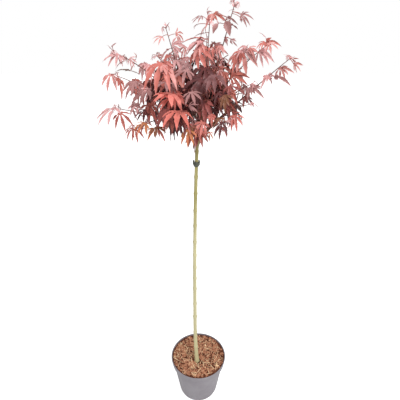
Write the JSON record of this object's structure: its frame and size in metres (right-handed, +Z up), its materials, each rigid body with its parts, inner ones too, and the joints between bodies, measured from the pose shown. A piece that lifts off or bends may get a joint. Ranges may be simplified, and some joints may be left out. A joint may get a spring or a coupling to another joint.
{
  "type": "potted japanese maple",
  "caption": "Young japanese maple grafted on a tall clear stem, with an airy round crown of red palmate leaves, standing in a tapered nursery pot topped with bark mulch.",
  "frame": {"origin": "centre of the pot's flat underside", "axes": "+Z up, the pictured front faces -Y, +X is to the right seen from the front"},
  "size_m": [0.454, 0.4317, 1.2996],
  "materials": {
    "pot": "satin",
    "mulch": "rough",
    "bark": "smooth bark",
    "boughs": "smooth bark",
    "tie": "matte",
    "foliage": "matte"
  },
  "bodies": {
    "root": {"pot": "pot", "mulch": "mulch", "trunk": "bark", "stem_tie": "tie", "bough_top_right_spire": "boughs", "bough_top_middle": "boughs", "bough_top_back": "boughs", "bough_right_high": "boughs", "bough_top_left_spire": "boughs", "bough_left_high": "boughs", "bough_back_left_high": "boughs", "bough_left_middle": "boughs", "bough_left_low": "boughs", "bough_left_front_low": "boughs", "bough_front_high": "boughs", "bough_front_middle": "boughs", "bough_front_low": "boughs", "bough_front_right": "boughs", "bough_front_hanging": "boughs", "bough_right_front": "boughs", "bough_right_middle": "boughs", "bough_right_low": "boughs", "bough_back_right_low": "boughs", "bough_back_middle": "boughs", "bough_back_low": "boughs", "bough_back_right_high": "boughs", "bough_back_left_low": "boughs", "foliage_top_right_spire": "foliage", "foliage_top_middle": "foliage", "foliage_top_back": "foliage", "foliage_right_high": "foliage", "foliage_top_left_spire": "foliage", "foliage_left_high": "foliage", "foliage_back_left_high": "foliage", "foliage_left_middle": "foliage", "foliage_left_low": "foliage", "foliage_left_front_low": "foliage", "foliage_front_high": "foliage", "foliage_front_middle": "foliage", "foliage_front_low": "foliage", "foliage_front_right": "foliage", "foliage_front_hanging": "foliage", "foliage_right_front": "foliage", "foliage_right_middle": "foliage", "foliage_right_low": "foliage", "foliage_back_right_low": "foliage", "foliage_back_middle": "foliage", "foliage_back_low": "foliage", "foliage_back_right_high": "foliage", "foliage_back_left_low": "foliage"}
  },
  "joints": []
}
